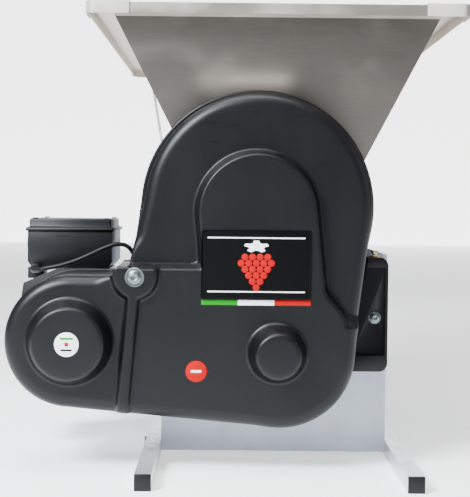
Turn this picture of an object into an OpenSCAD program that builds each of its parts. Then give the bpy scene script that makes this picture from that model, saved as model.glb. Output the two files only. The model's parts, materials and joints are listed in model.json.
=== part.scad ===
// Motor-driven grape crusher and destemmer.
// Millimetres, +Z up, drive end towards -Y. Inside the file x = 0 is the machine's
// middle plane; place() shifts everything so that the origin is the middle of the footprint.

/* [Runners] */
// Length of each runner that the machine stands on
runner_len = 1200; // [1100:10:1400]
// Outside size of the square runner tube
runner_size = 20; // [16:1:25]
// Wall of the runner tube
runner_wall = 1.5; // [1:0.5:2.5]

/* [Body] */
// Outside width of the sheet-metal body
body_w = 300; // [290:5:340]
// Length of the body, from drive panel to stem panel
body_len = 800; // [760:10:900]
// Height of the body's side panels above the floor
body_h = 270; // [262:2:300]
// Gap between the floor and the body's lower edge
body_gap = 5; // [2:1:12]
// Thickness of the body's side sheets
sheet = 1.5; // [1:0.5:2]
// Thickness of the two end panels
panel = 2; // [1.5:0.5:3]

/* [Hopper] */
// Outside width of the hopper rim
hopper_w = 500; // [470:5:560]
// Outside length of the hopper rim
hopper_len = 900; // [840:10:960]
// Height of the rim's top face above the floor
hopper_top = 597; // [580:1:640]
// Width of the flat rim flange
rim_flange = 30; // [20:1:36]
// Depth of the rim's turned-down lip
rim_drop = 14; // [12:1:22]
// Thickness of the hopper's stainless sheet
hopper_t = 1.5; // [1:0.25:2]
// Inside radius of the auger trough
trough_r = 75; // [74:1:80]
// Wall of the plastic corner caps
cap_wall = 2; // [1.5:0.5:3]
// Length of each leg of a corner cap
cap_leg = 56; // [40:1:70]

/* [Crushing] */
// Module of all the spur gears
gear_m = 4; // [4:1:4]
// Tooth count of each of the two meshed roller gears
roller_teeth = 20; // [20:1:20]
// Outside radius of the fluted rollers
roller_r = 37.5; // [34:0.5:38]
// Length of the fluted rollers
roller_len = 190; // [160:5:200]
// Number of flutes on a roller
roller_flutes = 10; // [6:1:14]
// Radius of the roller and auger shafts
shaft_r = 10; // [9:0.5:11]
// Outside radius of the auger's flight
flight_r = 70; // [64:1:71]
// Pitch of the auger's flight
flight_pitch = 90; // [70:5:120]

/* [Destemming] */
// Inside radius of the perforated cage
cage_r = 106; // [104:1:110]
// Thickness of the cage's sheet
cage_t = 1.5; // [1:0.5:2]
// Radius of the cage's round holes
cage_hole_r = 11; // [8:1:13]
// Reach of the beater paddles from the shaft's axis
paddle_reach = 94; // [84:1:95]
// Width across the flats of the square beater shaft
beater_square = 25; // [22:1:28]
// Number of paddles along the beater
paddle_count = 16; // [12:1:18]

/* [Drive] */
// Tooth count of the pinion on the beater shaft
pinion_teeth = 15; // [15:1:15]
// Tooth count of the large gear on the left roller
wheel_teeth = 58; // [58:1:58]
// Tooth count of the auger's gear
auger_teeth = 18; // [18:1:18]
// Tooth count of the small gear that turns the auger
feed_teeth = 10; // [10:1:10]
// Pitch radius of the motor pulley
motor_pulley_r = 31; // [26:1:36]
// Pitch radius of the beater pulley
beater_pulley_r = 80; // [72:1:82]
// Thickness of the vee belt
belt_t = 8; // [6:1:9]
// Radius of the motor frame
motor_r = 70; // [62:1:72]
// Length of the motor frame between its end shields
motor_len = 150; // [140:5:190]

/* [Guard] */
// Wall of the plastic guard
guard_t = 4; // [3:0.5:5]
// Radius of the guard's dome
dome_r = 145.5; // [144:0.5:150]
// Radius of the guard's lobe over the motor pulley
lobe_r = 85; // [80:1:90]
// Radius of the guard's round end over the beater pulley
low_r = 96; // [93:1:99]
// Width of the guard's flange around its dome
guard_lip = 8; // [4:0.5:9]

/* [Switch box] */
// Width of the switch box
box_w = 116; // [104:2:124]
// Length of the switch box along the motor
box_l = 142; // [130:2:150]
// Height of the switch box's base
box_h = 50; // [46:1:60]
// Diameter of the lead
lead_d = 6; // [5:0.5:7]

/* [Hidden] */
$fn = 64;

running = 0.1;         // radial clearance of a shaft in its bearing
seat = 0.3;            // gap where parts lie beside each other without a fit
bolt_r = 4;            // M8 fasteners
side_gap = 1;          // play along a shaft

// Body
front_y = -365;
rear_y = front_y + body_len;
body_x = body_w / 2;
in_front = front_y + panel;
in_rear = rear_y - panel;

// Shaft axes in the x-z plane
beater = [0, 150];
roller_pitch_r = gear_m * roller_teeth / 2;
wheel_pitch_r = gear_m * wheel_teeth / 2;
pinion_pitch_r = gear_m * pinion_teeth / 2;
auger_pitch_r = gear_m * auger_teeth / 2;
feed_pitch_r = gear_m * feed_teeth / 2;
roller_z = beater.y + sqrt(pow(wheel_pitch_r + pinion_pitch_r, 2) - pow(roller_pitch_r, 2));
roller_l = [-roller_pitch_r, roller_z];
roller_rt = [roller_pitch_r, roller_z];
auger = [0, roller_z + sqrt(pow(auger_pitch_r + feed_pitch_r, 2) - pow(roller_pitch_r, 2))];
motor = [-259, 162];

// Hopper
mouth_front = front_y - 7;
rim_front = mouth_front - rim_flange;
rim_rear = rim_front + hopper_len;
rim_x = hopper_w / 2;
mouth_x = rim_x - rim_flange;
front_lean = 0.12;
side_slant = 1.125;       // horizontal share of a sloping sheet
wall_top = hopper_top - hopper_t;
deck_z = 248.5;
trough_low = auger.y - trough_r - hopper_t;
trough_end_gap = 136.2;    // from the trough's rear end to the body's rear wall
rear_lean = (rim_rear - rim_flange - in_rear + trough_end_gap) / (wall_top - trough_low);

// Rollers
roller_y0 = front_y + 40;
roller_y1 = roller_y0 + roller_len;
frame_x = 82;
frame_t = 2;
frame_y0 = roller_y0 - side_gap - frame_t;
frame_y1 = roller_y1 + side_gap + frame_t;
frame_top = 325;
bush_r = 15;
bush_t = 8;

// Drive planes, from the back plate outwards
plate_t = 4;
plate_y = front_y - plate_t;
gear_t = 12;
gear_gap = 3;
train_y = plate_y - gear_gap;
feed_y = train_y - gear_t - gear_gap;
wheel_y = feed_y - gear_t - gear_gap;
pulley_y = wheel_y - gear_t - 6;
pulley_t = 20;
level1_y = -470;
level2_y = -492;
lug_y = -500;
motor_boss_y = -522;
beater_boss_y = -530;

// Guard outline
dome = [-24, 332];
low_end = [3, 150];
lobe_lip = 1;
plateau = [-26, 325];
plateau_r = 78;
skirt = [-164, 262];
skirt_r = 24;
band_top = 259;
band_left = -192;
lug = [-178, 244];
lug_r = 29;
rib_w = 17;
rib_lean = 5;
washer_r = 12;
side_box = [100, 117, 148, 267];  // x0, z0, x1, z1 of the back plate's box
side_box_y = plate_y - 30;
side_bolt = [131, 188];

// Motor
motor_y0 = front_y + 22;
shield_t = 14;
frame_y = motor_y0 + shield_t;
frame_end = frame_y + motor_len;
fan_y = frame_end + shield_t;
fan_len = 42;
fan_r = 50;
fan_hub_r = 20;
fan_blades = 7;
foot_z = motor.y - 80;
foot_x = 59;
bracket_t = 4;
motor_shaft_r = 9.5;

// Switch box
box_x = -280;
box_y = -312;
box_z = 246;
box_t = 3;
lid_h = 17;

// The lead's route, by hand, from its gland to the body's side
lead_points = [[-327, -322, 244], [-327, -330, 244], [-326, -338, 244], [-322, -346, 244],
    [-315, -352, 245], [-306, -355, 247], [-295, -356, 249], [-283, -356, 252], [-268, -356, 257],
    [-254, -356, 263], [-241, -355, 269], [-228, -354, 275], [-217, -353, 279], [-207, -351, 280],
    [-198, -349, 277], [-192, -347, 270], [-188, -345, 261], [-184, -343, 251], [-179, -342, 243],
    [-171, -341, 236], [-162, -340, 232], [-153, -340, 232]];
lead_sides = 10;

// The footprint's middle
left_reach = -motor.x + lobe_r + lobe_lip;
right_reach = rim_x + cap_wall;
mid_x = (left_reach - right_reach) / 2;

// ---------- shapes ----------

module place() translate([mid_x, 0, 0]) children();

// An x-z outline drawn as a slab between two y values
module slab_y(y0, y1) translate([0, y1, 0]) rotate([90, 0, 0]) linear_extrude(y1 - y0) children();

// A y-z outline drawn as a slab between two x values
module slab_x(x0, x1) translate([x0, 0, 0]) rotate([90, 0, 90]) linear_extrude(x1 - x0) children();

module rod_y(r, y0, y1, c) translate([c.x, y1, c.y]) rotate([90, 0, 0]) cylinder(r = r, h = y1 - y0);

module cone_y(r_back, r_front, y0, y1, c)
    translate([c.x, y1, c.y]) rotate([90, 0, 0]) cylinder(r1 = r_back, r2 = r_front, h = y1 - y0);

module block(lo, hi) translate(lo) cube(hi - lo);

module hex_y(r, y0, y1, c) translate([c.x, y1, c.y]) rotate([90, 0, 0]) cylinder(r = r, h = y1 - y0, $fn = 6);

function arc(c, r, a0, a1, n) = [for (i = [0:n]) c + r * [cos(a0 + (a1 - a0) * i / n), sin(a0 + (a1 - a0)
    * i / n)]];

// The outline of a belt drawn tight round two circles
function capsule(p, rp, q, rq, n = 28) =
    let (d = q - p, a = atan2(d.y, d.x), b = acos((rp - rq) / norm(d)))
    concat(arc(p, rp, a + b, a + 360 - b, n), arc(q, rq, a - b, a + b, n));

// Half-width of an involute tooth at radius r, in degrees
pressure = 25;
backlash = 0.35;
function inv(a) = tan(a) * 180 / PI - a;
function half_tooth(r, z) =
    let (rp = gear_m * z / 2, rb = rp * cos(pressure))
    90 / z + inv(pressure) - inv(acos(min(1, rb / r))) - backlash / 2 / rp * 180 / PI;

// Stub teeth: addendum 0.8 of the module, dedendum 1.0
function gear_points(z, phase) =
    let (rp = gear_m * z / 2, rb = rp * cos(pressure), root = rp - gear_m, tip = rp + 0.8 * gear_m,
        start = max(rb, root + 0.2), radii = [root, start, (start + rp) / 2, rp, tip],
        halves = [for (r = radii) half_tooth(max(r, start), z)])
    [for (i = [0:z - 1]) let (a = phase + 360 * i / z)
        each concat(
            [for (k = [0:4]) radii[k] * [cos(a - halves[k]), sin(a - halves[k])]],
            [for (k = [4:-1:0]) radii[k] * [cos(a + halves[k]), sin(a + halves[k])]])];

module gear(z, phase, y0, c, bore, hub_r, hub_t) difference() {
    union() {
        translate([c.x, 0, c.y]) slab_y(y0 - gear_t, y0) polygon(gear_points(z, phase));
        if (hub_t > 0) rod_y(hub_r, y0 - gear_t - hub_t, y0 - gear_t + 1, c);
    }
    rod_y(bore, y0 - gear_t - hub_t - 1, y0 + 1, c);
}

function bearing_to(p, q) = atan2(q.y - p.y, q.x - p.x);
function gap_phase(p, q, z) = bearing_to(q, p) - 180 / z;

// ---------- runners ----------

runner_x = body_x + runner_size / 2;
runner_bore = runner_size - 2 * runner_wall;

module runners() color("lightgray") for (side = [-1, 1])
    translate([side * runner_x, 0, runner_size / 2]) difference() {
        cube([runner_size, runner_len, runner_size], center = true);
        cube([runner_bore, runner_len + 2, runner_bore], center = true);
    }

module runner_plugs() color("black") for (side = [-1, 1], end = [-1, 1])
    translate([side * runner_x, end * runner_len / 2, runner_size / 2]) {
        translate([0, end * 2, 0]) cube([runner_size, 4, runner_size], center = true);
        translate([0, -end * 6, 0]) cube([runner_bore, 12.5, runner_bore], center = true);
    }

module runner_bolts() color("silver") for (side = [-1, 1], y = [in_front + 40, -60, 160, in_rear - 40])
    translate([side * (body_x + runner_size), y, runner_size / 2]) rotate([0, side * 90, 0])
        cylinder(r = 6, h = 4.5, $fn = 6);

// ---------- body ----------

upper_x = 84;
upper_z = 430;

module drive_panel() color("lightgray") difference() {
    slab_y(front_y, in_front) polygon([[-body_x, body_gap], [body_x, body_gap], [body_x, body_h],
        [upper_x, body_h + 12], [upper_x, upper_z], [-upper_x, upper_z], [-upper_x, body_h + 12],
        [-body_x, body_h]]);
    rod_y(20, front_y - 1, in_front + 1, beater);
    for (c = [roller_l, roller_rt, auger]) rod_y(bush_r, front_y - 1, in_front + 1, c);
    for (c = [side_bolt, lug]) rod_y(bolt_r + 0.3, front_y - 1, in_front + 1, c);
}

module cage_section(grow) polygon(concat(arc(beater, cage_r + grow, 180, 360, 24),
    [[cage_r + grow, deck_z - 3], [-cage_r - grow, deck_z - 3]]));

module stem_panel() color("lightgray") difference() {
    block([-body_x, in_rear, body_gap], [body_x, rear_y, body_h]);
    slab_y(in_rear - 1, rear_y + 1) cage_section(0);
    for (x = [-1, 1]) rod_y(bolt_r + 0.3, in_rear - 1, rear_y + 1, [x * (body_x - 18), beater.y]);
}

module side_panel(side) color("lightgray") difference() {
    block([side > 0 ? body_x - sheet : -body_x, in_front, body_gap],
        [side > 0 ? body_x : sheet - body_x, in_rear, body_h]);
    if (side < 0) translate([-body_x - 1, lead_points[len(lead_points) - 1].y, lead_points[len(lead_points)
        - 1].z])
        rotate([0, 90, 0]) cylinder(r = 6, h = sheet + 2);
}

module top_deck() color("gainsboro") difference() {
    block([sheet - body_x, in_front, deck_z], [body_x - sheet, in_rear, deck_z + sheet]);
    block([-frame_x - seat, frame_y0 - seat, deck_z - 1], [frame_x + seat, frame_y1 + seat,
        deck_z + sheet + 1]);
}

// ---------- hopper ----------

// The sloping side wall touches the round trough at this angle
function mouth_at(grow) = mouth_x + grow * side_slant;
function touch(grow) =
    let (a = mouth_at(grow), h = wall_top - auger.y) atan2(h, a) - acos((trough_r + grow) / norm([a, h]));
function wall_x(z, grow) =
    let (p = auger + (trough_r + grow) * [cos(touch(grow)), sin(touch(grow))])
    p.x + (mouth_at(grow) - p.x) * (z - p.y) / (wall_top - p.y);
function front_wall(z, grow) = mouth_front - grow + (wall_top - z) * front_lean;
function rear_wall(z, grow) = rim_rear - rim_flange + grow * side_slant - (wall_top - z) * rear_lean;

// The vee with a round bottom, seen from the drive end; grow makes the outside from the inside
function hopper_section(grow) = concat([[-mouth_at(grow), wall_top]],
    arc(auger, trough_r + grow, 180 - touch(grow), 360 + touch(grow), 18), [[mouth_at(grow), wall_top]]);
function hopper_side(grow, low) = [[front_wall(wall_top, grow), wall_top], [front_wall(low, grow), low],
    [rear_wall(low, grow), low], [rear_wall(wall_top, grow), wall_top]];

module hopper_shape(grow, low) intersection() {
    slab_y(rim_front, rim_rear) polygon(hopper_section(grow));
    slab_x(-rim_x, rim_x) polygon(hopper_side(grow, low));
}

module hopper() color("silver") difference() {
    union() {
        difference() {
            hopper_shape(hopper_t, trough_low - 5);
            hopper_shape(0, trough_low - 5);
        }
        difference() {
            block([-rim_x, rim_front, hopper_top - rim_drop], [rim_x, rim_rear, hopper_top]);
            block([-rim_x + hopper_t, rim_front + hopper_t, hopper_top - rim_drop - 1],
                [rim_x - hopper_t, rim_rear - hopper_t, wall_top]);
            block([-mouth_x, rim_front + rim_flange, hopper_top - rim_drop - 1],
                [mouth_x, rim_rear - rim_flange, hopper_top + 1]);
        }
    }
    block([-frame_x - seat, frame_y0 - seat, trough_low - 10], [frame_x + seat, frame_y1 + seat,
        frame_top + 1]);
    for (c = [roller_l, roller_rt]) rod_y(bush_r + 6, frame_y0 - 20, frame_y1 + bush_t + 1, c);
    rod_y(shaft_r + 2, rim_front, rim_rear, auger);
}

module hopper_corner_caps() color("darkgray") for (sx = [-1, 1], end = [0, 1])
    mirror([sx < 0 ? 1 : 0, 0, 0]) translate([0, end == 0 ? 0 : rim_front + rim_rear, 0])
        mirror([0, end, 0]) difference() {
            block([rim_x - cap_leg, rim_front - cap_wall, hopper_top - rim_drop - 1],
                [rim_x + cap_wall, rim_front + cap_leg, hopper_top + cap_wall]);
            block([rim_x - cap_leg - 1, rim_front, hopper_top - rim_drop - 2],
                [rim_x, rim_front + cap_leg + 1, hopper_top]);
            block([rim_x - cap_leg - 1, rim_front + rim_flange, hopper_top - 1],
                [mouth_x, rim_front + cap_leg + 1, hopper_top + cap_wall + 1]);
            difference() {
                translate([rim_x + cap_wall - 14, rim_front - cap_wall - 1, hopper_top - rim_drop - 2])
                    cube([16, 15, rim_drop + 6]);
                translate([rim_x + cap_wall - 14, rim_front - cap_wall + 14, hopper_top - rim_drop - 3])
                    cylinder(r = 14, h = rim_drop + 8);
            }
        }

strut_y = 308;
strut_w = 20;
strut_t = 4;
strut_low = 214;
strut_bend = 254;
strut_high = hopper_top - rim_drop - 4;
strut_bolt = [strut_y + strut_w / 2, strut_low + 16];

module hopper_struts() color("whitesmoke") for (side = [0, 1]) mirror([side, 0, 0]) slab_y(strut_y,
    strut_y + strut_w)
    let (x0 = body_x, x1 = wall_x(strut_high - 20, hopper_t) + seat, x2 = wall_x(strut_high, hopper_t) + seat)
    polygon([[x0, strut_low], [x0 + strut_t, strut_low], [x0 + strut_t, strut_bend],
        [x1 + strut_t, strut_high - 20], [x2 + strut_t, strut_high], [x2, strut_high], [x1, strut_high - 20],
        [x0, strut_bend]]);

module strut_bolts() color("silver") for (side = [-1, 1]) {
    translate([side * (body_x + strut_t), strut_bolt[0], strut_bolt[1]])
        rotate([0, side * 90, 0]) cylinder(r = 6.5, h = 5, $fn = 6);
    translate([side * (body_x - sheet), strut_bolt[0], strut_bolt[1]])
        rotate([0, -side * 90, 0]) cylinder(r = 6.5, h = 5, $fn = 6);
}

module hopper_front_bracket() color("gainsboro") for (x = [-62, 59])
    slab_x(x, x + 3) polygon([[in_front, 345], [front_wall(345, hopper_t) - seat, 345],
        [front_wall(upper_z - 6, hopper_t) - seat, upper_z - 6], [in_front, upper_z - 6]]);

saddle_y = 262;
module hopper_rear_saddle() color("gainsboro") difference() {
    union() {
        block([-108, saddle_y, deck_z + sheet], [108, saddle_y + 3, auger.y - 8]);
        block([-108, saddle_y, deck_z + sheet], [108, saddle_y + 28, deck_z + sheet + 3]);
    }
    slab_y(saddle_y - 1, saddle_y + 29) polygon(hopper_section(hopper_t + seat));
}

// ---------- rollers ----------

module roller_frame() color("gainsboro") difference() {
    block([-frame_x, frame_y0, deck_z - 2], [frame_x, frame_y1, frame_top]);
    block([-frame_x + frame_t, frame_y0 + frame_t, deck_z - 3],
        [frame_x - frame_t, frame_y1 - frame_t, frame_top + 1]);
    for (c = [roller_l, roller_rt]) rod_y(bush_r, frame_y0 - 1, frame_y1 + 1, c);
    block([-30, frame_y0 - 1, auger.y - 20], [30, frame_y1 + 1, frame_top + 1]);
}

module roller(c, y_drive, phase) color("dimgray") {
    difference() {
        rod_y(roller_r, roller_y0, roller_y1, c);
        for (i = [0:roller_flutes - 1]) rod_y(6, roller_y0 - 1, roller_y1 + 1,
            c + (roller_r + 1.5) * [cos(phase + 360 * i / roller_flutes),
                sin(phase + 360 * i / roller_flutes)]);
    }
    rod_y(shaft_r, y_drive, roller_y0, c);
    rod_y(shaft_r, roller_y1, frame_y1 + bush_t + 4, c);
}

module flange_bush(c, y_wall, out) color("gainsboro") difference() {
    union() {
        rod_y(bush_r - 0.05, out > 0 ? y_wall - panel : y_wall, out > 0 ? y_wall : y_wall + panel, c);
        rod_y(bush_r + 5, out > 0 ? y_wall : y_wall - bush_t, out > 0 ? y_wall + bush_t : y_wall, c);
    }
    rod_y(shaft_r + running, y_wall - bush_t - panel - 1, y_wall + bush_t + panel + 1, c);
}

module roller_bushes() for (c = [roller_l, roller_rt]) {
    flange_bush(c, in_front, 1);
    flange_bush(c, frame_y1, 1);
    flange_bush(c, frame_y0, -1);
}

module roller_gear_left() color("ivory")
    gear(roller_teeth, bearing_to(roller_l, roller_rt), train_y, roller_l, shaft_r, 0, 0);
module roller_gear_right() color("ivory")
    gear(roller_teeth, gap_phase(roller_l, roller_rt, roller_teeth), train_y, roller_rt, shaft_r, 0, 0);
module feed_pinion() color("silver")
    gear(feed_teeth, bearing_to(roller_rt, auger), feed_y, roller_rt, shaft_r, 0, 0);
module auger_gear() color("ivory")
    gear(auger_teeth, gap_phase(roller_rt, auger, auger_teeth), feed_y, auger, shaft_r, 0, 0);

module drive_wheel() color("ivory") difference() {
    gear(wheel_teeth, gap_phase(beater, roller_l, wheel_teeth), wheel_y, roller_l, shaft_r, 24, 3);
    for (i = [0:5]) rod_y(24, wheel_y - gear_t - 1, wheel_y + 1, roller_l + 70 * [cos(60 * i + 30),
        sin(60 * i + 30)]);
}

module drive_pinion() color("silver")
    gear(pinion_teeth, bearing_to(beater, roller_l), wheel_y, beater, shaft_r + 2, 0, 0);

// ---------- auger ----------

post_y = rear_wall(auger.y + bush_r, hopper_t) + 2;
post_t = 12;
auger_end = post_y + post_t + 8;
flight_y0 = roller_y1 + 16;
flight_y1 = 236;

module auger_shaft() color("silver") rod_y(shaft_r, feed_y - gear_t - 1, auger_end, auger);

flight_t = 3;
flight_steps = 20;
flight_in = shaft_r + 0.2;
module auger_flight() color("silver") {
    turns = (flight_y1 - flight_y0) / flight_pitch;
    n = ceil(turns * flight_steps);
    points = [for (i = [0:n]) let (a = 360 * turns * i / n, y = flight_y0 + (flight_y1 - flight_y0) * i / n)
        each [for (p = [[flight_in, 0], [flight_r, 0], [flight_r, flight_t], [flight_in, flight_t]])
            [auger.x + p.x * cos(a), y + p.y, auger.y + p.x * sin(a)]]];
    faces = concat([[0, 1, 2, 3]],
        [for (i = [0:n - 1], k = [0:3]) [4 * i + k, 4 * i + 4 + k, 4 * i + 4 + (k + 1) % 4, 4 * i + (k + 1)
            % 4]],
        [[4 * n + 3, 4 * n + 2, 4 * n + 1, 4 * n]]);
    polyhedron(points, faces);
}

module auger_bearings() {
    flange_bush(auger, in_front, 1);
    color("gainsboro") difference() {
        union() {
            rod_y(bush_r, post_y, post_y + post_t, auger);
            block([-9, post_y, deck_z + sheet], [9, post_y + post_t, auger.y - 12]);
            block([-30, post_y, deck_z + sheet], [30, post_y + post_t + 10, deck_z + sheet + 4]);
        }
        rod_y(shaft_r + running, post_y - 1, post_y + post_t + 1, auger);
    }
}

// ---------- beater ----------

journal_r = shaft_r + 2;
square_y0 = in_front + 22;
square_y1 = in_rear - 12;
bridge_y = rear_y;

module beater_shaft() color("silver") {
    block([-beater_square / 2, square_y0, beater.y - beater_square / 2],
        [beater_square / 2, square_y1, beater.y + beater_square / 2]);
    rod_y(journal_r, pulley_y - pulley_t - 14, square_y0, beater);
    rod_y(journal_r, square_y1, bridge_y + 22, beater);
}

paddle_y0 = square_y0 + 30;
paddle_y1 = square_y1 - 34;
module beater_paddles() color("dimgray") for (i = [0:paddle_count - 1])
    translate([beater.x, paddle_y0 + (paddle_y1 - paddle_y0) * i / (paddle_count - 1), beater.y])
        rotate([0, 90 * i, 0]) {
            translate([0, 0, beater_square / 2]) cylinder(r = 9, h = 8, $fn = 6);
            translate([0, 0, beater_square / 2 + 8]) cylinder(r = 5,
                h = paddle_reach - beater_square / 2 - 38);
            translate([0, 0, paddle_reach - 16]) rotate([0, 0, 35]) cube([46, 5, 32], center = true);
        }

module beater_bearing(y0, y1) difference() {
    union() {
        rod_y(22, y0, y1, beater);
        rod_y(34, y0, y0 + 5, beater);
    }
    rod_y(journal_r + running, y0 - 1, y1 + 1, beater);
}

module beater_bearings() color("gray") {
    beater_bearing(in_front, in_front + 20);
    beater_bearing(bridge_y + 5, bridge_y + 18);
}

module beater_bridge() color("lightgray") difference() {
    union() {
        block([-body_x, bridge_y, beater.y - 18], [body_x, bridge_y + 5, beater.y + 18]);
        rod_y(38, bridge_y, bridge_y + 5, beater);
    }
    rod_y(journal_r + 3, bridge_y - 1, bridge_y + 6, beater);
    for (x = [-1, 1]) rod_y(bolt_r + 0.3, bridge_y - 1, bridge_y + 6, [x * (body_x - 18), beater.y]);
}

// ---------- cage ----------

hole_rows = 17;
hole_cols = 6;
module cage() color("silver") difference() {
    union() {
        slab_y(in_front + seat, in_rear - seat) difference() {
            cage_section(cage_t);
            cage_section();
        }
        for (side = [-1, 1]) block(
            [side > 0 ? cage_r : -body_x + sheet + seat, in_front + seat, deck_z - 3 - cage_t],
            [side > 0 ? body_x - sheet - seat : -cage_r, in_rear - seat, deck_z - 3]);
    }
    for (i = [0:hole_rows - 1], k = [0:hole_cols - 1])
        translate([beater.x, in_front + 40 + (body_len - 84) * i / (hole_rows - 1), beater.y])
            rotate([0, 180 + (k - (hole_cols - 1) / 2) * 26, 0])
                translate([0, 0, cage_r - 8]) cylinder(r = cage_hole_r, h = 16);
}
module cage_section() polygon(concat(arc(beater, cage_r, 180, 360, 24),
    [[cage_r, deck_z + 5], [-cage_r, deck_z + 5]]));

chute_len = 120;
chute_x = 112;
module stem_chute() color("lightgray") {
    z0 = beater.y - cage_r - 4;
    slab_x(-chute_x, chute_x) polygon([[rear_y, z0], [rear_y + chute_len, z0 - 18],
        [rear_y + chute_len, z0 - 18 - sheet], [rear_y, z0 - sheet]]);
    for (side = [-1, 1]) slab_x(side > 0 ? chute_x : -chute_x - sheet, side > 0 ? chute_x + sheet : -chute_x)
        polygon([[rear_y, z0 - sheet], [rear_y + chute_len, z0 - 18 - sheet],
            [rear_y + chute_len, z0 + 6], [rear_y, z0 + 46]]);
}

// ---------- belt drive ----------

groove = 1.2;
module vee_pulley(c, r, bore, y0) difference() {
    rod_y(r + belt_t / 2 + 1, y0 - pulley_t, y0, c);
    rod_y(bore, y0 - pulley_t - 1, y0 + 1, c);
    translate([c.x, y0 - pulley_t / 2, c.y]) rotate([90, 0, 0]) rotate_extrude()
        polygon([[r - belt_t / 2 - groove, -4.4], [r + belt_t, -8], [r + belt_t, 8],
            [r - belt_t / 2 - groove, 4.4]]);
}

module motor_pulley() color("silver") vee_pulley(motor, motor_pulley_r, motor_shaft_r, pulley_y);

module beater_pulley() color("silver") difference() {
    vee_pulley(beater, beater_pulley_r, journal_r, pulley_y);
    for (i = [0:4]) rod_y(17, pulley_y - pulley_t - 1, pulley_y + 1, beater + 46 * [cos(72 * i + 90),
        sin(72 * i + 90)]);
}

belt_lift = 0.3;
module drive_belt() color("black") slab_y(pulley_y - pulley_t / 2 - 4, pulley_y - pulley_t / 2 + 4)
    difference() {
    polygon(capsule(motor, motor_pulley_r + belt_t / 2 + belt_lift, beater,
        beater_pulley_r + belt_t / 2 + belt_lift));
    polygon(capsule(motor, motor_pulley_r - belt_t / 2 + belt_lift, beater,
        beater_pulley_r - belt_t / 2 + belt_lift));
}

module pulley_nuts() color("silver") difference() {
    union() {
        hex_y(14, pulley_y - pulley_t - 11, pulley_y - pulley_t, beater);
        rod_y(17, pulley_y - pulley_t - 2, pulley_y - pulley_t, beater);
    }
    rod_y(journal_r, pulley_y - pulley_t - 12, pulley_y, beater);
}

// ---------- motor ----------

fins = 32;
fin_h = 8;
fin_half = 1.1;
stator_r = motor_r - 14;
foot_ys = [frame_y + 12, frame_end - 42];

// The ribbed frame, seen from the drive end; a fin is drawn at each step of the loop
function finned_outline() = [for (i = [0:fins - 1]) let (a = 360 * (i + 0.5) / fins,
    w = asin(fin_half / motor_r))
    each [for (p = [[motor_r - fin_h, -w * 1.2], [motor_r, -w], [motor_r, w], [motor_r - fin_h, w * 1.2]])
        motor + p.x * [cos(a + p.y), sin(a + p.y)]]];

module motor_frame() color("lightgray") difference() {
    union() {
        slab_y(frame_y, frame_end) polygon(finned_outline());
        for (x = [-50, 30], y = foot_ys) block([motor.x + x, y, foot_z], [motor.x + x + 20, y + 30,
            motor.y - 30]);
        for (x = [-68, 45], y = foot_ys) block([motor.x + x, y, foot_z], [motor.x + x + 23, y + 30,
            foot_z + 8]);
        block([motor.x - 36, frame_y + 20, motor.y + 50], [motor.x + 34, frame_y + 106, box_z]);
    }
    rod_y(stator_r, frame_y - 1, frame_end + 1, motor);
    for (x = [-foot_x, foot_x], y = foot_ys)
        translate([motor.x + x, y + 15, foot_z - 1]) cylinder(r = bolt_r + 0.5, h = 12);
}

module motor_stator() color("darkorange") difference() {
    rod_y(stator_r - 0.02, frame_y + 30, frame_end - 30, motor);
    rod_y(33, frame_y + 29, frame_end - 29, motor);
}

module motor_rotor() color("silver") {
    rod_y(32.4, frame_y + 30, frame_end - 30, motor);
    rod_y(motor_shaft_r, pulley_y - pulley_t - 4, frame_y + 30, motor);
    rod_y(motor_shaft_r, frame_end - 30, fan_y + 24, motor);
}

module motor_end_shields() color("lightgray") {
    for (y = [motor_y0, frame_end]) difference() {
        union() {
            rod_y(motor_r - 2, y, y + shield_t, motor);
            for (i = [0:3]) rod_y(8, y, y + shield_t, motor + (motor_r - 8) * [cos(90 * i + 45),
                sin(90 * i + 45)]);
        }
        rod_y(motor_shaft_r + running, y - 1, y + shield_t + 1, motor);
    }
}

function around(r, a) = motor + r * [cos(a), sin(a)];
module motor_fan() color("black") difference() {
    union() {
        slab_y(fan_y + 4, fan_y + 6.5) polygon([for (i = [0:47]) around(fan_r, 7.5 * i)]);
        slab_y(fan_y + 6, fan_y + 22) polygon([for (i = [0:fan_blades - 1]) let (a = 360 / fan_blades * i)
            for (p = [[fan_hub_r, -4], [fan_r - 4, -1.6], [fan_r - 4, 1.6], [fan_hub_r, 4], [fan_hub_r,
                180 / fan_blades]])
                around(p[0], a + p[1])]);
    }
    rod_y(motor_shaft_r, fan_y, fan_y + 30, motor);
}

module motor_fan_cover() color("black") difference() {
    rod_y(motor_r - 2, fan_y, fan_y + fan_len, motor);
    rod_y(motor_r - 4, fan_y - 1, fan_y + fan_len - 2, motor);
    for (i = [-5:5]) let (w = 50 - abs(i) * 4)
        block([motor.x - w, fan_y + fan_len - 4, motor.y + i * 10 - 2], [motor.x + w, fan_y + fan_len + 1,
            motor.y + i * 10 + 2]);
}

bracket_y0 = frame_y + 2;
bracket_y1 = frame_end - 2;
flange_z = foot_z + 54;
module motor_bracket() color("lightgray") {
    difference() {
        union() {
            block([motor.x - foot_x - 21, bracket_y0, foot_z - bracket_t], [-body_x, bracket_y1, foot_z]);
            block([-body_x - bracket_t, bracket_y0, foot_z - 1], [-body_x, bracket_y1, flange_z]);
            for (y = [bracket_y0, bracket_y1 - 3]) slab_y(y, y + 3) polygon([[-body_x - 1, foot_z - 1],
                [-body_x - 1, flange_z], [-body_x - bracket_t, flange_z], [-body_x - 36, foot_z],
                [-body_x - 36, foot_z - 1]]);
        }
        for (x = [-foot_x, foot_x], y = foot_ys)
            block([motor.x + x - 9, y + 15 - bolt_r - 0.5, foot_z - bracket_t - 1],
                [motor.x + x + 9, y + 15 + bolt_r + 0.5, foot_z + 1]);
    }
}

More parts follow.
